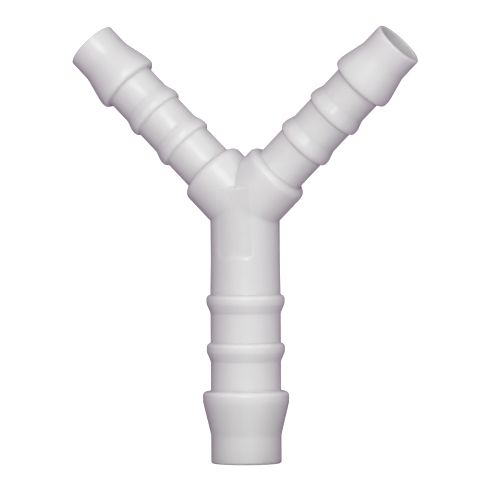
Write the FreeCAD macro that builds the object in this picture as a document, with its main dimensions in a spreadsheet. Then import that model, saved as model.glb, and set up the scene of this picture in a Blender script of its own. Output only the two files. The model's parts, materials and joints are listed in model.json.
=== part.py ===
import FreeCAD, Part
import math
import os
import Sketcher

# Reducing Y connector for flexible hose, moulded in one piece.
# A 13 mm (half inch) stem splits into two 10 mm (three eighths inch) arms, which leave
# the hub at 45 degrees each. Every limb is a round form about its own centre line: a
# plain tube, two retaining rings, an end barb and a short plain nose. All the ledges
# face the hub, so a hose slides on over the gentle slopes and is held by the ledges.
# The hub is three cylinders of one size that meet in plain creases, and each arm
# leaves it over a rounded collar. The bore runs through from mouth to mouth.
#
# In the body's own frame the hub's centre is the origin, the stem runs along -Y and
# the arms lie in the XY plane. The body then lies down on its three end barbs.

doc = FreeCAD.newDocument("y_connector")

# Driving dimensions, in millimetres and degrees. A station is measured along a limb
# from the hub's centre, and a land or length from the ledge of its ring or barb.
SIZES = [
    ("arm_angle", 45),          # between each arm and the stem's centre line
    ("hub_od", 12.5),
    ("root_length", 9.6),       # the stem keeps the hub's diameter to this station
    ("collar_length", 9.5),     # the arms' collars end at this station
    ("collar_round", 1.3),
    ("stem_od", 12.7),
    ("stem_wall", 1.05),
    ("stem_length", 46.2),
    ("stem_first_ring", 15.75),
    ("stem_pitch", 8.7),
    ("stem_ring_od", 14.15),
    ("stem_ring_land", 1.65),
    ("stem_ring_length", 3.35),
    ("stem_ring_round", 0.6),
    ("stem_barb_od", 15.6),
    ("stem_barb_land", 1.9),
    ("stem_barb_length", 7.9),
    ("stem_barb_round", 0.8),
    ("arm_od", 9.5),
    ("arm_wall", 0.9),
    ("arm_length", 41.5),
    ("arm_first_ring", 15.5),
    ("arm_pitch", 7.7),
    ("arm_ring_od", 10.65),
    ("arm_ring_land", 1.4),
    ("arm_ring_length", 3.1),
    ("arm_ring_round", 0.5),
    ("arm_barb_od", 11.7),
    ("arm_barb_land", 1.6),
    ("arm_barb_length", 6.2),
    ("arm_barb_round", 0.7),
    ("ring_blend", 1.6),        # softens the edge between a ring's land and its slope
    ("barb_blend", 4.0),        # softens both ends of a barb's cone
    ("rim_round", 0.4),         # outer edge of each mouth
    ("mouth_round", 0.25),      # inner edge of each mouth
    ("core_round", 5.0),        # inner end of the stem's bore, inside the hub
    ("web_height", 3.6),        # flat web that fills the front of the fork's valley
    ("web_depth", 0.05),        # how far it stays below the front of the hub
    ("field_start", 0.8),       # bare marking field, sunk in the front of the root
    ("field_length", 7.95),
    ("field_sweep", 60),
    ("field_depth", 0.12),      # at the field's far end; it fades out towards the web
]
RINGS = 2                       # retaining rings on each limb, before the end barb
ROUND_SHARE = 0.95              # the most of a step's height that its rounding takes
SAME_PLACE = 1e-4               # two edges nearer than this, in mm, are the same one

sheet = doc.addObject("Spreadsheet::Sheet", "dims")
for row, (alias, value) in enumerate(SIZES, start=1):
    sheet.set(f"A{row}", alias)
    sheet.set(f"B{row}", str(value))
    sheet.setAlias(f"B{row}", alias)
doc.recompute()

body = doc.addObject("PartDesign::Body", "y_connector")
body.Label = "y_connector"


def value_of(expression):
    """Work out an expression of the sheet's cells, as a plain number."""
    return float(sheet.evalExpression(expression))


def origin_feature(role):
    """Return the body's own origin plane or axis with this role."""
    return next(item for item in body.Origin.OriginFeatures if item.Role == role)


def new_sketch(name, plane, turn=None):
    """Start a sketch on an origin plane, turned about its normal by an expression."""
    sketch = body.newObject("Sketcher::SketchObject", name)
    sketch.AttachmentSupport = (origin_feature(plane), [""])
    sketch.MapMode = "FlatFace"
    if turn:
        clockwise = FreeCAD.Rotation(FreeCAD.Vector(0, 0, -1), value_of(turn))
        sketch.AttachmentOffset = FreeCAD.Placement(FreeCAD.Vector(), clockwise)
        sketch.setExpression("AttachmentOffset.Rotation.Angle", turn)
    return sketch


def hold_size(sketch, expression, kind, *where):
    """Add a constraint whose size follows an expression of the sheet."""
    index = sketch.addConstraint(
        Sketcher.Constraint(kind, *where, value_of(expression)))
    sketch.setExpression(f"Constraints[{index}]", expression)


def corner_arc(before, corner, after, radius):
    """Return the arc that rounds a corner, its two ends and if it starts at the first.

    An arc in a sketch always runs anticlockwise, so one that turns the other way
    starts at its second end.
    """
    back = (before - corner).normalize()
    ahead = (after - corner).normalize()
    half = back.getAngle(ahead) / 2
    centre = corner + (back + ahead).normalize() * (radius / math.sin(half))
    ends = [corner + side * (radius / math.tan(half)) for side in (back, ahead)]
    start, stop = [math.atan2(end.y - centre.y, end.x - centre.x) for end in ends]
    forward = (stop - start) % (2 * math.pi) < math.pi
    if not forward:
        start, stop = stop, start
    circle = Part.Circle(centre, FreeCAD.Vector(0, 0, 1), radius)
    return Part.ArcOfCircle(circle, start, stop), ends, forward


def draw_outline(sketch, corners):
    """Draw a closed outline whose corners are held by expressions of the sheet.

    A corner is (across, along, rounding): the expressions of its two coordinates, and
    of the radius that rounds it, or None where it stays sharp. A rounded corner keeps
    its place as a construction point, where its two straight lines would meet.
    """
    count = len(corners)
    places = [FreeCAD.Vector(value_of(across), value_of(along), 0)
              for across, along, _ in corners]
    arcs = {}
    arrive = list(places)
    leave = list(places)
    for i, (_, _, rounding) in enumerate(corners):
        if rounding:
            arc, (arrive[i], leave[i]), forward = corner_arc(
                places[i - 1], places[i], places[(i + 1) % count], value_of(rounding))
            arcs[i] = (arc, (1, 2) if forward else (2, 1))
    lines = [sketch.addGeometry(Part.LineSegment(leave[i], arrive[(i + 1) % count]))
             for i in range(count)]
    for i, (across, along, rounding) in enumerate(corners):
        before = lines[i - 1]
        after = lines[i]
        if rounding:
            shape, (first, last) = arcs[i]
            arc = sketch.addGeometry(shape)
            sketch.addConstraint(Sketcher.Constraint("Tangent", before, 2, arc, first))
            sketch.addConstraint(Sketcher.Constraint("Tangent", arc, last, after, 1))
            hold_size(sketch, rounding, "Radius", arc)
            held = sketch.addGeometry(Part.Point(places[i]), True)
            for line in (before, after):
                sketch.addConstraint(
                    Sketcher.Constraint("PointOnObject", held, 1, line))
        else:
            sketch.addConstraint(Sketcher.Constraint("Coincident", before, 2, after, 1))
            held = after
        hold_size(sketch, across, "DistanceX", -1, 1, held, 1)
        hold_size(sketch, along, "DistanceY", -1, 1, held, 1)


def ledge_station(limb, count):
    """Return the expression of the station of a ring's ledge; the last is the barb's."""
    return f"dims.{limb}_first_ring + {count} * dims.{limb}_pitch"


def step_round(rounding, outer, inner):
    """Return the expression of a rounding that stays within the step it tops."""
    return f"min({rounding}; {ROUND_SHARE} * ({outer} - {inner}))"


def limb_outline(limb, hub_end):
    """Return the corners of a limb's half section, from the hub's centre outwards."""
    tube = f"dims.{limb}_od / 2"
    corners = [("0", "0", None), ("dims.hub_od / 2", "0", None)] + hub_end
    for ring in range(RINGS):
        ledge = ledge_station(limb, ring)
        crest = f"dims.{limb}_ring_od / 2"
        corners += [
            (tube, ledge, None),
            (crest, ledge, step_round(f"dims.{limb}_ring_round", crest, tube)),
            (crest, f"{ledge} + dims.{limb}_ring_land", "dims.ring_blend"),
            (tube, f"{ledge} + dims.{limb}_ring_length", None),
        ]
    ledge = ledge_station(limb, RINGS)
    crest = f"dims.{limb}_barb_od / 2"
    corners += [
        (tube, ledge, None),
        (crest, ledge, step_round(f"dims.{limb}_barb_round", crest, tube)),
        (crest, f"{ledge} + dims.{limb}_barb_land", "dims.barb_blend"),
        (tube, f"{ledge} + dims.{limb}_barb_length", "dims.barb_blend"),
        (tube, f"dims.{limb}_length", "dims.rim_round"),
        ("0", f"dims.{limb}_length", None),
    ]
    return corners


def turned(kind, name, sketch, axis="V_Axis"):
    """Revolve a sketch about one of its own axes, to add or to cut."""
    feature = body.newObject(f"PartDesign::{kind}", name)
    feature.Profile = (sketch, [""])
    feature.ReferenceAxis = (sketch, [axis])
    feature.Angle = 360
    return feature


def other_arm(name, feature):
    """Mirror an arm's feature to the other side of the stem."""
    mirrored = body.newObject("PartDesign::Mirrored", name)
    mirrored.Originals = [feature]
    mirrored.MirrorPlane = (origin_feature("YZ_Plane"), [""])
    body.Tip = mirrored
    return mirrored


# Stem: the root keeps the hub's diameter, then drafts out to the first ring
STEM_TURN = "180"
stem_section = new_sketch("stem_section", "XY_Plane", STEM_TURN)
draw_outline(stem_section, limb_outline("stem", [
    ("dims.hub_od / 2", "dims.root_length", None),
]))
stem = turned("Revolution", "stem", stem_section)

# Arms: one is turned and the other mirrored, each on its rounded collar
ARM_TURN = "dims.arm_angle"
arm_section = new_sketch("arm_section", "XY_Plane", ARM_TURN)
draw_outline(arm_section, limb_outline("arm", [
    ("dims.hub_od / 2", "dims.collar_length",
     step_round("dims.collar_round", "dims.hub_od / 2", "dims.arm_od / 2")),
    ("dims.arm_od / 2", "dims.collar_length", None),
]))
arm = turned("Revolution", "arm", arm_section)
arms = other_arm("arms", arm)

# Web: a flat between the crests of the two arms closes the lower part of the fork's
# valley, in front only. Its slanting sides are buried in the arms
web_section = new_sketch("web_section", "XY_Plane")
WEB_HALF = "dims.web_height * tan(dims.arm_angle * 1deg)"
draw_outline(web_section, [
    ("0", "0", None),
    (WEB_HALF, "dims.web_height", None),
    (f"-{WEB_HALF}", "dims.web_height", None),
])
web = body.newObject("PartDesign::Pad", "web")
web.Profile = (web_section, [""])
web.setExpression("Length", "dims.hub_od / 2 - dims.web_depth")

# Bores: each leaves its tube's wall. The stem's ends rounded inside the hub, as far
# beyond the hub's centre as its own radius, and the arms' run into it
STEM_BORE = "(dims.stem_od / 2 - dims.stem_wall)"
ARM_BORE = "(dims.arm_od / 2 - dims.arm_wall)"
stem_bore_section = new_sketch("stem_bore_section", "XY_Plane", STEM_TURN)
draw_outline(stem_bore_section, [
    ("0", f"-{STEM_BORE}", None),
    (STEM_BORE, f"-{STEM_BORE}", step_round("dims.core_round", STEM_BORE, "0")),
    (STEM_BORE, "dims.stem_length", None),
    ("0", "dims.stem_length", None),
])
stem_bore = turned("Groove", "stem_bore", stem_bore_section)

arm_bore_section = new_sketch("arm_bore_section", "XY_Plane", ARM_TURN)
draw_outline(arm_bore_section, [
    ("0", "0", None),
    (ARM_BORE, "0", None),
    (ARM_BORE, "dims.arm_length", None),
    ("0", "dims.arm_length", None),
])
arm_bore = turned("Groove", "arm_bore", arm_bore_section)
arm_bores = other_arm("arm_bores", arm_bore)
doc.recompute()


def mouth_edges(shape):
    """Return the names of the edges where the bores meet the limbs' end faces."""
    arm_reach = FreeCAD.Rotation(FreeCAD.Vector(0, 0, 1), -value_of(ARM_TURN)).multVec(
        FreeCAD.Vector(0, value_of("dims.arm_length"), 0))
    mouths = [
        (FreeCAD.Vector(0, -value_of("dims.stem_length"), 0), value_of(STEM_BORE)),
        (arm_reach, value_of(ARM_BORE)),
        (FreeCAD.Vector(-arm_reach.x, arm_reach.y, 0), value_of(ARM_BORE)),
    ]
    names = []
    for index, edge in enumerate(shape.Edges, start=1):
        curve = edge.Curve
        if not isinstance(curve, Part.Circle):
            continue
        for centre, radius in mouths:
            if (curve.Center.isEqual(centre, SAME_PLACE)
                    and abs(curve.Radius - radius) < SAME_PLACE):
                names.append(f"Edge{index}")
    return names


# Each mouth's inner edge is rounded
mouths = body.newObject("PartDesign::Fillet", "mouths")
mouths.Base = (arm_bores, mouth_edges(arm_bores.Shape))
mouths.setExpression("Radius", "dims.mouth_round")

# Marking field: left bare, a shallow recess that follows the root's round front and
# runs out towards the hub
field_section = new_sketch("field_section", "YZ_Plane")
draw_outline(field_section, [
    ("-dims.field_start - dims.field_length", "dims.hub_od / 2 - dims.field_depth", None),
    ("-dims.field_start", "dims.hub_od / 2", None),
    ("-dims.field_start", "dims.hub_od / 2 + dims.field_depth", None),
    ("-dims.field_start - dims.field_length", "dims.hub_od / 2 + dims.field_depth", None),
])
field = turned("Groove", "field", field_section, "H_Axis")
field.Midplane = True
field.setExpression("Angle", "dims.field_sweep")
doc.recompute()


def crest_station(limb, offset):
    """Return how far from the hub's centre a limb's end barb touches a flat surface."""
    return value_of(f"{ledge_station(limb, RINGS)} + {offset}")


def lying_placement():
    """Return the placement that lays the body on its three end barbs.

    The stem's barb is the larger one, so the limbs' plane dips towards the arms. The
    stem touches where its crest begins, and the arms where theirs ends. The origin is
    at the middle of the lying body's box, on the surface that it lies on.
    """
    stem_touch = crest_station("stem", "dims.stem_barb_round")
    slope = math.atan(value_of(
        "(dims.arm_barb_od - dims.arm_od) / 2 / (dims.arm_barb_length - dims.arm_barb_land)"))
    arm_touch = (crest_station("arm", "dims.arm_barb_land")
                 - value_of("dims.barb_blend") * math.tan(slope / 2))
    arm_touch *= math.cos(math.radians(value_of(ARM_TURN)))
    step = value_of("(dims.stem_barb_od - dims.arm_barb_od) / 2")
    dip = math.degrees(math.asin(step / (stem_touch + arm_touch)))
    turn = FreeCAD.Rotation(FreeCAD.Vector(1, 0, 0), -dip)
    lying = body.Shape.copy()
    lying.Placement = FreeCAD.Placement(FreeCAD.Vector(), turn)
    box = lying.optimalBoundingBox(False, False)
    return FreeCAD.Placement(
        FreeCAD.Vector(-box.Center.x, -box.Center.y, -box.ZMin), turn)


body.Placement = lying_placement()
doc.recompute()

# The web must add something, every cut must take something away, and nothing may have
# failed
if not web.Shape.Volume > arms.Shape.Volume:
    raise RuntimeError("the web adds nothing")
for before, after in ((web, stem_bore), (stem_bore, arm_bore), (arm_bore, arm_bores),
                      (arm_bores, mouths), (mouths, field)):
    if not after.Shape.Volume < before.Shape.Volume:
        raise RuntimeError(f"{after.Name} cuts nothing")
for item in doc.Objects:
    if "Invalid" in item.State or "Error" in item.State:
        raise RuntimeError(f"{item.Name} failed: {item.State}")
if body.Shape.isNull() or not body.Shape.isValid() or len(body.Shape.Solids) != 1:
    raise RuntimeError(f"{body.Label} is not one valid solid")

os.makedirs("parts", exist_ok=True)
body.Shape.exportStep(f"parts/{body.Label}.step")
box = body.Shape.optimalBoundingBox(False, False)
print(f"{body.Label}: volume {body.Shape.Volume:.1f} mm3, box "
      f"{box.XLength:.2f} x {box.YLength:.2f} x {box.ZLength:.2f} mm")
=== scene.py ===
"""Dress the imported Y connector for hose: its moulded surface, its plastic and its studio."""

import json
import math

import bpy
import numpy as np
from bpy.props import FloatProperty, FloatVectorProperty, IntProperty, PointerProperty
from bpy.types import Operator, Panel, PropertyGroup
from mathutils import Matrix, Vector


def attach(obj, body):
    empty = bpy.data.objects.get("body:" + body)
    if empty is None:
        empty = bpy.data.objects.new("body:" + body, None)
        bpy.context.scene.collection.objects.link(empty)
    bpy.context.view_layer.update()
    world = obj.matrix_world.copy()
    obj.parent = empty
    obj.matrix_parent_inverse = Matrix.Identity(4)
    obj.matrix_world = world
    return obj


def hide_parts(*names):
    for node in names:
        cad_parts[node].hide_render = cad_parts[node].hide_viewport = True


bl_info = {
    "name": "Y connector",
    "version": (1, 0, 0),
    "blender": (4, 5, 0),
    "location": "3D View > Sidebar > Y connector",
    "description": "Builds a moulded hose Y connector and the studio that it lies in",
    "category": "Object",
}

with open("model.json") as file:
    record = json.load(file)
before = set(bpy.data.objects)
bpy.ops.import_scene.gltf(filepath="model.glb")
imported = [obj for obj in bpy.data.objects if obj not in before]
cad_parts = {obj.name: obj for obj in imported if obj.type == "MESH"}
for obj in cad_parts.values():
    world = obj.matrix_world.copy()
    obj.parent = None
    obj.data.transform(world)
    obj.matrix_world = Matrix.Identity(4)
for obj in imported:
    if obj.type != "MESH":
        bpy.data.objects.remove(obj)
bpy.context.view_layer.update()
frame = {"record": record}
MOUNTS = {mount["name"]: mount for mount in frame["record"]["mounts"]}

NODE = "y_connector"
BODY = "root"
MM = 0.001


def linear(code):
    """Turn an sRGB hex colour such as "d9d7d6" into linear red, green and blue."""
    coded = [int(code[i:i + 2], 16) / 255 for i in (0, 2, 4)]
    return [c / 12.92 if c <= 0.04045 else ((c + 0.055) / 1.055) ** 2.4 for c in coded]


def length(name, millimetres, description):
    """Declare a length, given here in millimetres and kept in metres."""
    return FloatProperty(name=name, description=description, default=millimetres * MM,
                         min=0.0, precision=5, unit="LENGTH", subtype="DISTANCE")


def colour(name, code, description):
    """Declare a colour, given here as an sRGB hex value."""
    return FloatVectorProperty(name=name, description=description, default=linear(code),
                               size=3, min=0.0, max=1.0, subtype="COLOR")


def degrees(name, angle, description):
    """Declare an angle, given here in degrees and kept in radians."""
    return FloatProperty(name=name, description=description, default=math.radians(angle),
                         unit="ROTATION", subtype="ANGLE")


def share(name, value, description):
    """Declare a plain number from 0 to 1."""
    return FloatProperty(name=name, description=description, default=value,
                         min=0.0, max=1.0, subtype="FACTOR")


class HubSizes(PropertyGroup):
    """The hub: three cylinders of one size, creased where they meet."""

    diameter: length("Diameter", 12.5, "Outer diameter of the hub's three cylinders")
    root_length: length("Root", 9.6, "The stem keeps the hub's diameter to this station")
    collar_length: length("Collar", 9.5, "The arms' collars end at this station")
    collar_round: length("Collar round", 1.3, "Rounding of each collar's outer edge")
    collar_lean: length("Collar lean", 0.1, "How far a collar's ledge leans back")
    core_round: length("Core round", 5.0, "Inner end of the stem's bore, inside the hub")
    web_height: length("Web height", 3.6, "Top of the flat web, above the hub's centre")
    web_depth: length("Web depth", 0.05, "From the front of the hub back to the web")
    field_start: length("Field start", 0.8, "Station where the bare marking field starts")
    field_length: length("Field length", 7.95, "Length of the bare marking field")
    field_sweep: degrees("Field sweep", 60, "Angle that the marking field spans")
    field_depth: length("Field depth", 0.12, "Depth of the marking field's far end")
    seam_height: length("Seam height", 0.02, "Height of the mould's parting line")


class StemSizes(PropertyGroup):
    """The stem's rings, barb and rim. Stations run along it from the hub's centre."""

    first_ring: length("First ring", 15.75, "Station of the first ring's ledge")
    pitch: length("Pitch", 8.7, "From one ledge to the next")
    ring_diameter: length("Ring diameter", 14.15, "Diameter of the rings' crests")
    ring_land: length("Ring land", 1.65, "Length of a ring's straight crest")
    ring_length: length("Ring length", 3.35, "From a ring's ledge to the end of its slope")
    ring_lean: length("Ring lean", 0.15, "How far a ring's ledge leans back")
    ring_round: length("Ring round", 0.75, "Rounding between a ring's ledge and its crest")
    barb_diameter: length("Barb diameter", 15.6, "Diameter of the end barb's crest")
    barb_land: length("Barb land", 1.9, "Length of the end barb's straight crest")
    barb_length: length("Barb length", 7.9, "From the barb's ledge to the end of its cone")
    barb_round: length("Barb round", 0.8, "Rounding between the barb's ledge and crest")


class ArmSizes(PropertyGroup):
    """The arms' rings, barbs and rims. Stations run along them from the hub's centre."""

    first_ring: length("First ring", 15.5, "Station of the first ring's ledge")
    pitch: length("Pitch", 7.7, "From one ledge to the next")
    ring_diameter: length("Ring diameter", 10.65, "Diameter of the rings' crests")
    ring_land: length("Ring land", 1.4, "Length of a ring's straight crest")
    ring_length: length("Ring length", 3.1, "From a ring's ledge to the end of its slope")
    ring_lean: length("Ring lean", 0.25, "How far a ring's ledge leans back")
    ring_round: length("Ring round", 0.65, "Rounding between a ring's ledge and its crest")
    barb_diameter: length("Barb diameter", 11.7, "Diameter of the end barb's crest")
    barb_land: length("Barb land", 1.6, "Length of the end barb's straight crest")
    barb_length: length("Barb length", 6.2, "From the barb's ledge to the end of its cone")
    barb_round: length("Barb round", 0.7, "Rounding between the barb's ledge and crest")


class MouldSizes(PropertyGroup):
    """Small roundings that all three limbs share, and how finely they are drawn."""

    rings: IntProperty(name="Rings", description="Retaining rings before each end barb",
                       default=2, min=0, max=4)
    foot_round: length("Foot round", 0.35, "Rounding where a ledge or slope meets its tube")
    ring_blend: length("Ring blend", 1.6, "Softens the edge between a land and its slope")
    barb_blend: length("Barb blend", 4.0, "Softens both ends of a barb's cone")
    rim_round: length("Rim round", 0.4, "Outer edge of each mouth")
    mouth_round: length("Mouth round", 0.25, "Inner edge of each mouth")
    columns: IntProperty(name="Columns", description="Steps round each limb, a multiple of 4",
                         default=192, min=16, max=256, step=4)


class PlasticLook(PropertyGroup):
    """Acetal as it comes from the mould, natural white and half glossy."""

    base: colour("Base", "e4e3e3", "Colour of the plastic")
    depth: length("Light depth", 1.2, "How far light wanders inside the plastic")
    soft: share("Softness", 1.0, "Share of the light that goes through the plastic")
    roughness: share("Roughness", 0.25, "Roughness of the moulded skin")
    matt: share("Matt", 0.3, "How much rougher the marking field is than the skin")
    # Painted shade: the marking field's colour is darkened to stand in for the sheen that its
    # matt skin loses.
    shade: share("Field shade", 0.035, "How much darker the marking field is")
    cloud: length("Cloud", 12, "Width of the slow changes of tone and gloss")
    gloss_change: share("Gloss change", 0.03, "How much the roughness goes up and down")
    mottle: share("Mottle", 0.06, "How much the plastic's tone goes up and down")
    grain: length("Grain", 0.35, "Width of the moulded skin's fine unevenness")
    grain_height: length("Grain height", 0.003, "Height of the fine unevenness")
    grain_strength: share("Grain strength", 0.3, "How much the unevenness turns the light")


class StudioLook(PropertyGroup):
    """Plain soft studio light over a pale floor, and the camera above it."""

    turn: degrees("Turn", 19.09, "Turn of the part about its stem, right arm to the viewer")
    lean: degrees("Lean", 1.89, "Lean of the part's top to the viewer")
    roll: degrees("Roll", 0.35, "Turn of the part in the picture, anticlockwise")
    distance: length("Distance", 1264.9, "From the camera to the hub's plane")
    floor: colour("Floor", "fafafa", "Colour of the floor")
    card: colour("Card", "1a1a1a", "Colour of the card that darkens the stem's end")
    lamps: colour("Lamps", "f6fff5", "Colour of the lamps")
    surroundings: colour("Surroundings", "f6a8ff", "Colour of the dim room")


class YConnectorSettings(PropertyGroup):
    """All sizes and colours of the Y connector and its studio."""

    hub: PointerProperty(name="Hub", description="Sizes of the hub", type=HubSizes)
    stem: PointerProperty(name="Stem", description="Sizes of the stem", type=StemSizes)
    arm: PointerProperty(name="Arms", description="Sizes of both arms", type=ArmSizes)
    mould: PointerProperty(name="Mould", description="Shared roundings", type=MouldSizes)
    plastic: PointerProperty(name="Plastic", description="The material", type=PlasticLook)
    studio: PointerProperty(name="Studio", description="Light and camera", type=StudioLook)


def unit(vector):
    """Return a vector's direction."""
    return np.asarray(vector, float) / np.linalg.norm(vector)


def mount_point(name):
    """Return the middle of a mount, as an array."""
    return np.array(MOUNTS[name]["pos_m"], float)


def mount_axis(name):
    """Return the direction in which a limb leaves the hub, from its bore's mount."""
    return unit(MOUNTS[name]["axis"])


def hub_centre():
    """Return where the stem's and the right arm's centre lines come nearest."""
    directions = np.stack([mount_axis("stem_bore"), -mount_axis("right_bore")], axis=1)
    between = mount_point("right_bore") - mount_point("stem_bore")
    along = np.linalg.lstsq(directions, between, rcond=None)[0]
    return mount_point("stem_bore") + along[0] * mount_axis("stem_bore")


HUB = hub_centre()
FRONT = unit(np.cross(mount_axis("right_bore"), mount_axis("left_bore")))
RIGHT = unit(np.cross(FRONT, mount_axis("stem_bore")))
ARM_ANGLE = math.acos(-mount_axis("stem_bore") @ mount_axis("right_bore"))


class Limb:
    """One limb's centre line, its side direction, its bore and its plain tube."""

    def __init__(self, name, side):
        bore = MOUNTS[f"{name}_bore"]["dims"]
        self.along = mount_axis(f"{name}_bore")
        self.side = unit(side)
        self.bore = bore["r_mm"] * MM
        self.tube = MOUNTS[f"{name}_hose_tail"]["dims"]["r_mm"] * MM
        self.wall_end = ((mount_point(f"{name}_bore") - HUB) @ self.along
                         + bore["length_mm"] * MM / 2)

    def place(self, station, radius, angle):
        """Return points: out along the limb, then round it from its side to the front."""
        station, radius, angle = [np.asarray(a)[..., None]
                                  for a in np.broadcast_arrays(station, radius, angle)]
        return (HUB + station * self.along
                + radius * (np.cos(angle) * self.side + np.sin(angle) * FRONT))


STEM = Limb("stem", RIGHT)
RIGHT_ARM = Limb("right", np.cross(mount_axis("right_bore"), FRONT))
LEFT_ARM = Limb("left", np.cross(FRONT, mount_axis("left_bore")))

QUARTER = math.pi / 2
ARC_STEP = math.radians(11)     # the largest turn between two points of a rounding
LONGEST_STEP = 2.5 * MM         # between two rows of a straight side
BORE_JOIN = 10 * MM             # nearer the hub, the bores' columns bend to the creases
JUNCTION_ROWS = 18              # from there to the crease of the bores
ROOT_ROWS = 8                   # from the hub's crease to the end of the marking field
WEB_ROWS = 6                    # from the fork's crease to the top of the web
COLLAR_ROWS = 8                 # from there to a collar's rounding
COLLAR_LEAD = 0.6 * MM          # drawn straight before each collar's rounding
SIDE_REACH = 12 * MM            # an arm's bore has left the stem's bore before this
HALVINGS = 40
FOOT_SHARE = 0.9                # of a ledge's height below the rounding of its top
STEP_WIDTH = 0.3 * MM           # the field's end and the web's top slope over this width
SAME_PLACE = 0.001 * MM         # points closer than this count as one
SAME_ANGLE = 1e-6               # angles closer than this count as one


def rounded_path(corners):
    """Draw a limb's half section as a row of points, with round corners.

    A corner is (station, radius, rounding). It's replaced by the arc of that rounding
    that touches both of its straight sides, in equal steps of angle, and a long
    straight side is cut into equal steps. Returns the points' stations and radii.
    """
    points = [np.array(corners[0][:2])]
    for before, corner, after in zip(corners, corners[1:], corners[2:]):
        place = np.array(corner[:2])
        back = unit(np.array(before[:2]) - place)
        ahead = unit(np.array(after[:2]) - place)
        half = math.acos(back @ ahead) / 2
        turn = math.pi - 2 * half
        centre = place + unit(back + ahead) * corner[2] / math.sin(half)
        start = place + back * corner[2] / math.tan(half) - centre
        finish = place + ahead * corner[2] / math.tan(half) - centre
        for step in np.linspace(0, 1, max(2, math.ceil(turn / ARC_STEP)) + 1):
            spoke = start * math.sin((1 - step) * turn) + finish * math.sin(step * turn)
            points.append(centre + spoke / math.sin(turn))
    points.append(np.array(corners[-1][:2]))
    drawn = [points[0]]
    for start, point in zip(points, points[1:]):
        steps = math.ceil(np.linalg.norm(point - start) / LONGEST_STEP)
        drawn += [start + (point - start) * step / steps for step in range(1, steps + 1)]
    return np.array(drawn).T


def foot_of(mould, height, lean, top_round):
    """Return the rounding at the foot of a ledge that rises by height and leans by lean.

    It's the common one, or most of what the rounding at the ledge's top leaves of it.
    """
    bend = math.tan(math.atan2(height, lean) / 2)
    left = math.hypot(height, lean) - top_round * bend
    return min(mould.foot_round, FOOT_SHARE * left / bend)


def limb_path(sizes, mould, limb, start):
    """Return a limb's half section, from its start out to the mouth and down the bore.

    A ring rises from the tube at its ledge, which leans back a little, keeps its crest
    over a land and slopes back to the tube. The end barb does too, but rises square.
    """
    corners = list(start)
    for ring in range(mould.rings):
        ledge = sizes.first_ring + ring * sizes.pitch
        crest = sizes.ring_diameter / 2
        foot = foot_of(mould, crest - limb.tube, sizes.ring_lean, sizes.ring_round)
        corners += [
            (ledge, limb.tube, foot),
            (ledge + sizes.ring_lean, crest, sizes.ring_round),
            (ledge + sizes.ring_land, crest, mould.ring_blend),
            (ledge + sizes.ring_length, limb.tube, mould.foot_round),
        ]
    ledge = sizes.first_ring + mould.rings * sizes.pitch
    crest = sizes.barb_diameter / 2
    mouth = limb.wall_end + mould.mouth_round
    corners += [
        (ledge, limb.tube, foot_of(mould, crest - limb.tube, 0, sizes.barb_round)),
        (ledge, crest, sizes.barb_round),
        (ledge + sizes.barb_land, crest, mould.barb_blend),
        (ledge + sizes.barb_length, limb.tube, mould.barb_blend),
        (mouth, limb.tube, mould.rim_round),
        (mouth, limb.bore, mould.mouth_round),
        (BORE_JOIN, limb.bore, 0),
    ]
    return rounded_path(corners)


def column_angles(count):
    """Return even angles round a limb, from the side that faces away from its own side."""
    return np.linspace(-math.pi, math.pi, count, endpoint=False)


def smooth(value):
    """Ease from 0 to 1, level at both ends."""
    value = np.clip(value, 0, 1)
    return value * value * (3 - 2 * value)


def first_beyond(beyond, low, high):
    """Halve each interval from low to high until it closes on where beyond starts."""
    for _ in range(HALVINGS):
        middle = (low + high) / 2
        passed = beyond(middle)
        low, high = np.where(passed, low, middle), np.where(passed, middle, high)
    return high


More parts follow.
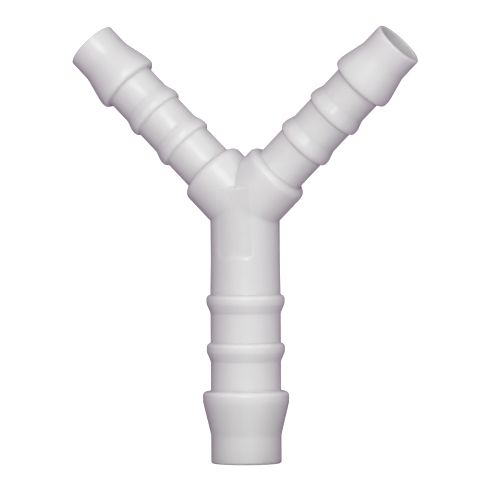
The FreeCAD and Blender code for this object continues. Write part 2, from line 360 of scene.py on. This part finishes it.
class BoreJunction:
    """Where the three bores meet inside the hub.

    The stem's bore is a round wall that ends beyond the hub's centre in a dome, which
    is a quarter round and a small flat. A line along an arm's bore starts where it
    leaves the stem's bore, or where it crosses the plane between the arms if that is
    further out. Both are at the same place at the crease's two corners, in front and
    behind, and the columns are spread so that one meets each corner.
    """

    def __init__(self, core_round):
        self.round = core_round
        self.flat = STEM.bore - core_round
        self.corner = first_beyond(
            lambda angle: self.leaves_stem(angle) < self.leaves_other(angle),
            np.array(QUARTER), np.array(math.pi))

    def seen_from_stem(self, station, angle):
        """Return a point's rise beyond the hub, its reach from the stem's line and turn."""
        point = RIGHT_ARM.place(station, RIGHT_ARM.bore, angle) - HUB
        right, front = point @ RIGHT, point @ FRONT
        return -point @ STEM.along, np.hypot(right, front), np.arctan2(front, right)

    def leaves_other(self, angle):
        """Station where a line of the right arm's bore crosses the plane between the arms."""
        return -RIGHT_ARM.bore * np.cos(angle) / math.tan(ARM_ANGLE)

    def leaves_stem(self, angle):
        """Station where a line of the right arm's bore leaves the stem's bore."""
        def beyond(station):
            rise, reach, _ = self.seen_from_stem(station, angle)
            out = np.clip(reach - self.flat, 0, self.round)
            dome = self.flat + np.sqrt(self.round ** 2 - out ** 2)
            return (reach > STEM.bore) | (rise > dome)

        start = np.zeros_like(angle)
        return first_beyond(beyond, start, start + SIDE_REACH)

    def arm_start(self, angles):
        """Return each column's turn and station on the crease, for an arm's bore."""
        turn = np.interp(angles, [-math.pi, -QUARTER, QUARTER, math.pi],
                         [-math.pi, -self.corner, self.corner, math.pi])
        return turn, np.where(faces_other(angles), self.leaves_other(turn),
                              self.leaves_stem(turn))

    def stem_start(self, angles):
        """Return each column's turn and meridian on the crease, for the stem's bore.

        A column takes the place of the arm's column that it meets. Its meridian is its
        length from the dome's pole, over the flat and the quarter round to the wall.
        """
        mirrored = faces_other(angles)
        twin = np.where(mirrored, np.sign(angles) * math.pi - angles, angles)
        turn, station = self.arm_start(twin)
        rise, reach, turn = self.seen_from_stem(station, turn)
        sweep = np.arctan2(reach - self.flat, rise - self.flat)
        meridian = (self.flat + self.round * np.clip(sweep, 0, QUARTER)
                    + np.clip(self.flat - rise, 0, None))
        return np.where(mirrored, np.sign(angles) * math.pi - turn, turn), meridian

    def on_stem(self, meridian):
        """Return the station and radius at a meridian of the stem's bore."""
        sweep = np.clip((meridian - self.flat) / self.round, 0, QUARTER)
        wall = np.clip(meridian - self.wall_start(), 0, None)
        station = wall - self.flat - self.round * np.cos(sweep)
        return station, np.minimum(meridian, self.flat) + self.round * np.sin(sweep)

    def wall_start(self):
        """Return the meridian where the stem's round wall starts."""
        return self.flat + self.round * QUARTER


def faces_other(angles):
    """Tell which columns lie on the half that faces away from a limb's own side."""
    return np.abs(angles) > QUARTER + SAME_ANGLE


def rows_between(stops, steps):
    """Return rows of stations that go from stop to stop in equal steps, but the last."""
    return np.array([start + (stop - start) * step / count
                     for start, stop, count in zip(stops, stops[1:], steps)
                     for step in range(count)])


def crease_station(angles, radius, near, far):
    """Return where each line of a hub cylinder starts, on the hub's crease.

    Two cylinders of one size cross in the plane that halves the angle between them, so
    a line starts at its distance to the side times the cotangent of half that angle.
    """
    side = np.cos(angles) * radius
    return np.where(side > 0, side / math.tan(near / 2), -side / math.tan(far / 2))


def full_grid(path, hub_stations, angles, inner):
    """Return a limb's stations, radii and angles, row by row from crease to crease.

    The rows are the hub's cylinder, the path's points and the bend of the bore.
    """
    columns = np.ones(len(angles))
    station = np.concatenate([hub_stations, path[0][:, None] * columns, inner[0]])
    radius = np.concatenate([np.full(hub_stations.shape, path[1][0]),
                             path[1][:, None] * columns, inner[1]])
    angle = np.concatenate([np.tile(angles, (len(hub_stations) + len(path[0]), 1)),
                            inner[2]])
    return station, radius, angle


def crease_numbers(count, first):
    """Number a crease's points and give each limb's columns their own.

    The stem has a point for each column. The right arm shares those on the half that
    faces the stem, and the left arm shares the mirrored ones. On their other half both
    arms share the points between them.
    """
    column = np.arange(count)
    between = faces_other(column_angles(count))
    stem = first + column
    right = stem.copy()
    right[between] = first + count + np.arange(between.sum())
    left = np.where(between, right, stem[(3 * count // 2 - column) % count])
    return stem, right, left, between


def moulded_body(settings):
    """Return the points, the quads and how many of the points lie on a crease.

    Each limb is one grid of rows and columns, from the hub's crease over its outside,
    round its mouth and down its bore to the crease of the bores. The three grids share
    the points of both creases, and the left arm mirrors the right one.
    """
    hub, mould = settings.hub, settings.mould
    if mould.columns % 4:
        raise ValueError("the number of columns has to be a multiple of 4")
    angles = column_angles(mould.columns)
    radius = hub.diameter / 2
    to_stem = math.pi - ARM_ANGLE
    to_arm = 2 * ARM_ANGLE
    seam = hub.seam_height * (np.abs(np.sin(angles)) < SAME_ANGLE)
    junction = BoreJunction(hub.core_round)
    weights = np.linspace(0, 1, JUNCTION_ROWS + 1)[1:, None]

    half_step = STEP_WIDTH / 2
    field_end = hub.field_start + hub.field_length
    stem_path = limb_path(settings.stem, mould, STEM, [
        (field_end + half_step, radius, 0),
        (hub.root_length, radius, mould.barb_blend),
    ])
    crease = crease_station(angles, radius + seam, to_stem, to_stem)
    stops = [crease, np.full_like(angles, field_end - half_step),
             np.full_like(angles, field_end + half_step)]
    turn, meridian = junction.stem_start(angles)
    join = junction.wall_start() + junction.flat + BORE_JOIN
    inner = (*junction.on_stem(join + (meridian - join) * weights),
             angles + (turn - angles) * weights)
    station, reach, angle = full_grid(
        stem_path, rows_between(stops, [ROOT_ROWS, 1]), angles, inner)
    stem_grid = (station, reach - marking_field(hub, station, angle, reach), angle)

    arm_path = limb_path(settings.arm, mould, RIGHT_ARM, [
        (hub.collar_length - hub.collar_lean - hub.collar_round - COLLAR_LEAD, radius, 0),
        (hub.collar_length - hub.collar_lean, radius, hub.collar_round),
        (hub.collar_length, RIGHT_ARM.tube,
         foot_of(mould, radius - RIGHT_ARM.tube, hub.collar_lean, hub.collar_round)),
    ])
    crease = crease_station(angles, radius + seam, to_stem, to_arm)
    web_top = web_top_station(hub, angles)
    web_top = np.maximum(web_top, crease + 2 * STEP_WIDTH)
    stops = [crease, web_top - half_step, web_top + half_step,
             np.full_like(angles, arm_path[0][0])]
    turn, start = junction.arm_start(angles)
    bend = BORE_JOIN + (start - BORE_JOIN) * weights
    inner = (bend, np.full_like(bend, RIGHT_ARM.bore), angles + (turn - angles) * weights)
    arm_grid = full_grid(
        arm_path, rows_between(stops, [WEB_ROWS, 1, COLLAR_ROWS]), angles, inner)

    grids = []
    for limb, (station, reach, angle) in (
            (STEM, stem_grid), (RIGHT_ARM, arm_grid), (LEFT_ARM, arm_grid)):
        skin = np.arange(len(station)) < station.argmax(0).min()  # rows before the mouth
        fade = smooth((limb.wall_end - mould.rim_round - station) / mould.rim_round)
        points = limb.place(station, reach + seam * fade * skin[:, None], angle)
        points[skin] = raise_web(hub, points[skin])
        grids.append(points)

    numbers = [crease_numbers(mould.columns, 0)]
    between = numbers[0][3]
    shared = mould.columns + between.sum()
    numbers.append(crease_numbers(mould.columns, shared))
    points = [grids[0][0], grids[1][0][between], grids[0][-1], grids[1][-1][between]]
    quads = []
    count = 2 * shared
    for index, (limb, grid) in enumerate(zip((STEM, RIGHT_ARM, LEFT_ARM), grids)):
        own = grid[1:-1].reshape(-1, 3)
        points.append(own)
        rows = np.concatenate([
            numbers[0][index][None],
            count + np.arange(len(own)).reshape(-1, mould.columns),
            numbers[1][index][None],
        ])
        count += len(own)
        beside = np.roll(rows, -1, axis=1)
        faces = np.stack([rows[:-1], beside[:-1], beside[1:], rows[1:]], axis=-1)
        mirrored = np.cross(limb.side, FRONT) @ limb.along < 0
        if mirrored:
            faces = faces[..., ::-1]
        quads.append(faces.reshape(-1, 4))
    return np.concatenate(points), np.concatenate(quads), 2 * shared


def marking_field(hub, station, angle, reach):
    """Return how deep the bare marking field is at each point of the stem's skin.

    It deepens evenly from nothing at its start to its full depth at its far end, and
    its two long sides slope over one column.
    """
    along = (station - hub.field_start) / hub.field_length
    across = (hub.field_sweep / 2 - np.abs(angle - QUARTER)) / (angle[0, 1] - angle[0, 0])
    inside = (along < 1) & (reach > (STEM.tube + STEM.bore) / 2)
    return hub.field_depth * np.clip(along, 0, 1) * smooth(across + 0.5) * inside


def web_top_station(hub, angles):
    """Return the station where each line of an arm's cylinder passes the web's top.

    A line at a distance q from the arm's crest line, towards the fork, has risen by
    station times the cosine of the arm's angle plus q times its sine. Lines outside
    the web take the station of its nearest one.
    """
    radius = hub.diameter / 2
    flat = radius - hub.web_depth
    towards_fork = np.maximum(-radius * np.cos(angles), math.sqrt(radius ** 2 - flat ** 2))
    rise = towards_fork * math.sin(ARM_ANGLE)
    return np.maximum(hub.web_height - rise, 0) / math.cos(ARM_ANGLE)


def raise_web(hub, points):
    """Bring the front of the fork's valley forward to the flat web, up to its top."""
    place = points - HUB
    rise = -place @ STEM.along
    front = place @ FRONT
    flat = hub.diameter / 2 - hub.web_depth
    inside = (rise > 0) & (rise < hub.web_height) & (front > 0) & (front < flat)
    inside &= np.abs(place @ RIGHT) < rise * math.tan(ARM_ANGLE)
    return points + (inside * (flat - front))[..., None] * FRONT


def matt_share(hub, points):
    """Return 1 where the mould's insert left its matt skin, over field and web, else 0; it
    sets their roughness and their painted shade.
    """
    place = points - HUB
    half_width = hub.diameter / 2 * math.sin(hub.field_sweep / 2)
    inside = half_width - np.abs(place @ RIGHT)
    down = place @ STEM.along
    inside = np.minimum(inside, hub.field_start + hub.field_length - down)
    inside = np.minimum(inside, down + hub.web_height)
    front = place @ FRONT > hub.diameter / 2 * math.cos(hub.field_sweep)
    return smooth(inside / STEP_WIDTH + 0.5) * front


def between_arms(points):
    """Tell which crease points lie where the two arms meet, in the fork's plane."""
    place = points - HUB
    return (np.abs(place @ RIGHT) < SAME_PLACE) & (place @ STEM.along < SAME_PLACE)


def add_object(name, data):
    """Put new data in the scene as an object."""
    item = bpy.data.objects.new(name, data)
    bpy.context.scene.collection.objects.link(item)
    return item


def mesh_object(name, points, quads, creased):
    """Make a smooth object from points and quads, and keep the fork's crease sharp."""
    mesh = bpy.data.meshes.new(name)
    mesh.from_pydata(points, [], quads, shade_flat=False)
    ends = np.empty(len(mesh.edges) * 2, np.int32)
    mesh.edges.foreach_get("vertices", ends)
    crease = np.zeros(len(points), bool)
    crease[:creased] = between_arms(points[:creased])
    sharp = crease[ends.reshape(-1, 2)].all(axis=1)
    mesh.edges.foreach_set("use_edge_sharp", sharp)
    piece = add_object(name, mesh)
    even = piece.modifiers.new("Even shading", "WEIGHTED_NORMAL")
    even.keep_sharp = True
    return piece


def add_node(tree, kind, settings=(), links=()):
    """Add a node; settings are its attributes or sockets, and links feed its sockets."""
    node = tree.nodes.new(kind)
    for key, value in dict(settings).items():
        if isinstance(key, str) and hasattr(node, key):
            setattr(node, key, value)
        else:
            node.inputs[key].default_value = value
    for key, output in dict(links).items():
        tree.links.new(output, node.inputs[key])
    return node


def new_material(name):
    """Start a node material and return it with its empty tree."""
    material = bpy.data.materials.new(name)
    material.use_nodes = True
    material.node_tree.nodes.clear()
    return material, material.node_tree


def opaque(rgb):
    """Return a colour with full alpha, as a colour socket takes it."""
    return (*rgb, 1.0)


def acetal(look):
    """Acetal (POM), injection moulded and left natural white.

    The mould was polished, so the skin is half glossy with a very fine unevenness. The
    plastic is cloudy: light goes in a little way, which softens every shade. Its crystals
    are too fine to show, so its mottling is drawn as coarse as it needs to show.
    """
    material, tree = new_material("moulded_acetal")
    place = add_node(tree, "ShaderNodeTexCoord").outputs["Object"]
    grain = add_node(tree, "ShaderNodeTexNoise", {"Scale": 1 / look.grain},
                     {"Vector": place}).outputs["Fac"]
    cloud = add_node(tree, "ShaderNodeTexNoise", {"Scale": 1 / look.cloud},
                     {"Vector": place}).outputs["Fac"]
    bump = add_node(tree, "ShaderNodeBump",
                    {"Strength": look.grain_strength, "Distance": look.grain_height},
                    {"Height": grain})
    mottle = add_node(tree, "ShaderNodeMix", (), {2: cloud, 3: grain})
    tone = add_node(tree, "ShaderNodeMix", {
        "data_type": "RGBA",
        6: opaque(c * (1 - look.mottle) for c in look.base),
        7: opaque(min(1.0, c * (1 + look.mottle)) for c in look.base),
    }, {"Factor": mottle.outputs[0]})
    # The matt share raises the roughness, which is real, and it also darkens the field's
    # colour: painted shade that stands in for the sheen the matt skin loses.
    matt = add_node(tree, "ShaderNodeAttribute", {"attribute_name": "matt"}).outputs["Fac"]
    shade = add_node(tree, "ShaderNodeMath", {"operation": "MULTIPLY", 1: look.shade},
                     {0: matt})
    tone_with_painted_shade = add_node(tree, "ShaderNodeMix",
                      {"data_type": "RGBA", 7: opaque((0.0, 0.0, 0.0))},
                      {"Factor": shade.outputs[0], 6: tone.outputs[2]})
    skin = add_node(tree, "ShaderNodeMapRange", {
        "To Min": look.roughness - look.gloss_change,
        "To Max": look.roughness + look.gloss_change,
    }, {"Value": cloud})
    rough = add_node(tree, "ShaderNodeMath", {"operation": "MULTIPLY_ADD", 1: look.matt},
                     {0: matt, 2: skin.outputs["Result"]})
    shader = add_node(tree, "ShaderNodeBsdfPrincipled", {
        "IOR": 1.48,
        "Subsurface Weight": look.soft,
        "Subsurface Scale": look.depth,
        "Subsurface Radius": (1.0, 1.0, 1.0),
    }, {
        "Base Color": tone_with_painted_shade.outputs[2],
        "Roughness": rough.outputs[0],
        "Normal": bump.outputs["Normal"],
    })
    add_node(tree, "ShaderNodeOutputMaterial", (), {"Surface": shader.outputs[0]})
    return material


class YCONNECTOR_OT_body(Operator):
    """Build the moulded body and put it in the plain body's place"""

    bl_idname = "mesh.y_connector_body"
    bl_label = "Moulded body"

    def execute(self, context):
        settings = context.scene.y_connector
        points, quads, creased = moulded_body(settings)
        body = mesh_object("moulded_body", points, quads, creased)
        matt = body.data.attributes.new("matt", "FLOAT", "POINT")
        matt.data.foreach_set("value", matt_share(settings.hub, points).astype(np.float32))
        body.data.materials.append(acetal(settings.plastic))
        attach(body, BODY)
        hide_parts(NODE)
        return {"FINISHED"}


PICTURE_WIDTH = 490
PIXEL = 0.18 * MM               # at the hub's distance
HUB_PIXEL = (244.95, 206.95)    # where the picture shows the hub's centre
FLOOR_HALF = 4.0                # from the middle of the floor to its edge
FLOOR_GLOW = 0.9                # keeps the floor white where the lamps don't reach
MATT_PAPER = 0.9                # the roughness of the floor and of the card
ROOM_LIGHT = 0.14
CARD_STATION = 53 * MM          # where the card stands, out along the stem
CARD_HALF = 30 * MM             # from the card's middle to its side
CARD_HEIGHT = 26 * MM

# name, direction from the hub (right, up and back, as seen), distance, size, watts
LAMPS = (
    ("overhead", (0, 0.1, 0.995), 0.6, 2.0, 5.1),
    ("top_lamp", (-0.1, 0.55, 0.83), 0.9, 0.4, 1.3),
    ("front_lamp", (0.06, 0.16, 0.985), 0.9, 0.12, 0.8),
    ("lower_lamp", (0.25, -0.6, 0.76), 0.9, 1.0, 1.7),
    ("near_lamp", (-0.35, 0.1, 0.93), 0.12, 0.12, 0.02),
    ("low_top_lamp", (0, 0.98, 0.2), 0.9, 0.6, 0.5),
    ("low_right_lamp", (0.66, 0.68, 0.3), 0.9, 0.4, 1.5),
    ("low_left_lamp", (-0.7, 0.7, 0.2), 0.9, 0.5, 0.8),
)


def camera_axes(studio):
    """Return the camera's right, up and back directions as columns.

    The part is turned about its stem, then leans to the viewer, then rolls in the
    picture. The camera takes the same three turns the other way round.
    """
    part = Matrix((RIGHT, -STEM.along, FRONT)).transposed()
    turned = (Matrix.Rotation(studio.roll, 3, "Z") @ Matrix.Rotation(studio.lean, 3, "X")
              @ Matrix.Rotation(-studio.turn, 3, "Y"))
    return part @ turned.transposed()


def add_camera(studio, axes):
    """Place the camera over the part, with its lens as the photograph's frame."""
    data = bpy.data.cameras.new("camera")
    data.angle = 2 * math.atan(PICTURE_WIDTH * PIXEL / 2 / studio.distance)
    camera = add_object("camera", data)
    middle = PICTURE_WIDTH / 2
    offset = Vector(((middle - HUB_PIXEL[0]) * PIXEL, (HUB_PIXEL[1] - middle) * PIXEL,
                     studio.distance))
    camera.matrix_world = (Matrix.Translation(Vector(HUB) + axes @ offset)
                           @ axes.to_4x4())
    bpy.context.scene.camera = camera


def add_light(studio, axes, name, towards, distance, size, power):
    """Hang a round soft light that faces the hub; towards is right, up and back, as seen."""
    data = bpy.data.lights.new(name, "AREA")
    data.shape = "DISK"
    data.size = size
    data.energy = power
    data.color = studio.lamps
    light = add_object(name, data)
    back = axes @ Vector(towards).normalized()
    light.matrix_world = (Matrix.Translation(Vector(HUB) + back * distance)
                          @ back.to_track_quat("Z", "Y").to_matrix().to_4x4())
    light.visible_camera = False


def stage_material(name, base, glow):
    """Paper or card, pressed smooth but matt, in one colour; glow lights it from within."""
    material, tree = new_material(name)
    shader = add_node(tree, "ShaderNodeBsdfPrincipled", {
        "Base Color": opaque(base),
        "Roughness": MATT_PAPER,
        "Emission Color": opaque((1.0, 1.0, 1.0)),
        "Emission Strength": glow,
    })
    add_node(tree, "ShaderNodeOutputMaterial", (), {"Surface": shader.outputs[0]})
    return material


def stage_sheet(name, corners, material):
    """Put one flat sheet in the scene, as a part of the stage."""
    mesh = bpy.data.meshes.new(name)
    mesh.from_pydata(corners, [], [(0, 1, 2, 3)])
    mesh.materials.append(material)
    sheet = add_object(name, mesh)
    return sheet


def add_floor(studio):
    """Lay white paper, lit until it's plain white."""
    corners = np.array([(-1, -1, 0), (1, -1, 0), (1, 1, 0), (-1, 1, 0)]) * FLOOR_HALF
    paper = stage_material("floor_paper", studio.floor, FLOOR_GLOW)
    floor = stage_sheet("floor", corners, paper)
    floor.visible_diffuse = False
    floor.visible_glossy = False
    floor.visible_shadow = False


def add_card(studio):
    """Stand a black card, or flag, below the picture to darken the stem's free end."""
    foot = HUB + STEM.along * CARD_STATION
    foot[2] = 0
    side = RIGHT * CARD_HALF
    top = np.array((0, 0, CARD_HEIGHT))
    corners = [foot - side, foot + side, foot + side + top, foot - side + top]
    card = stage_sheet("flag", corners, stage_material("black_card", studio.card, 0.0))
    card.visible_camera = False


def set_room(studio):
    """Set the dim light of the room, and plain tones for the picture."""
    world = bpy.data.worlds.new("room")
    world.use_nodes = True
    background = world.node_tree.nodes["Background"]
    background.inputs["Color"].default_value = opaque(studio.surroundings)
    background.inputs["Strength"].default_value = ROOM_LIGHT
    bpy.context.scene.world = world
    bpy.context.scene.view_settings.view_transform = "Standard"


class YCONNECTOR_OT_stage(Operator):
    """Lay the floor, hang the lights and set up the camera"""

    bl_idname = "scene.y_connector_stage"
    bl_label = "Studio"

    def execute(self, context):
        studio = context.scene.y_connector.studio
        axes = camera_axes(studio)
        add_camera(studio, axes)
        add_floor(studio)
        for lamp in LAMPS:
            add_light(studio, axes, *lamp)
        add_card(studio)
        set_room(studio)
        return {"FINISHED"}


class YCONNECTOR_PT_panel(Panel):
    """Lists the Y connector's sizes and colours, and builds it"""

    bl_label = "Y connector"
    bl_idname = "YCONNECTOR_PT_panel"
    bl_space_type = "VIEW_3D"
    bl_region_type = "UI"
    bl_category = "Y connector"

    def draw(self, context):
        settings = context.scene.y_connector
        for operator in (YCONNECTOR_OT_body, YCONNECTOR_OT_stage):
            self.layout.operator(operator.bl_idname)
        for name in ("hub", "stem", "arm", "mould", "plastic", "studio"):
            group = getattr(settings, name)
            box = self.layout.box()
            box.label(text=name.capitalize())
            for key in group.__annotations__:
                box.prop(group, key)


CLASSES = (HubSizes, StemSizes, ArmSizes, MouldSizes, PlasticLook, StudioLook,
           YConnectorSettings, YCONNECTOR_OT_body, YCONNECTOR_OT_stage,
           YCONNECTOR_PT_panel)


def register():
    """Register the classes and hang the settings on the scene."""
    for item in CLASSES:
        bpy.utils.register_class(item)
    bpy.types.Scene.y_connector = PointerProperty(type=YConnectorSettings)


def unregister():
    """Take the settings and the classes away again."""
    del bpy.types.Scene.y_connector
    for item in reversed(CLASSES):
        bpy.utils.unregister_class(item)


def main():
    """Build everything."""
    register()
    bpy.ops.scene.y_connector_stage()
    bpy.ops.mesh.y_connector_body()


if __name__ == "__main__":
    main()
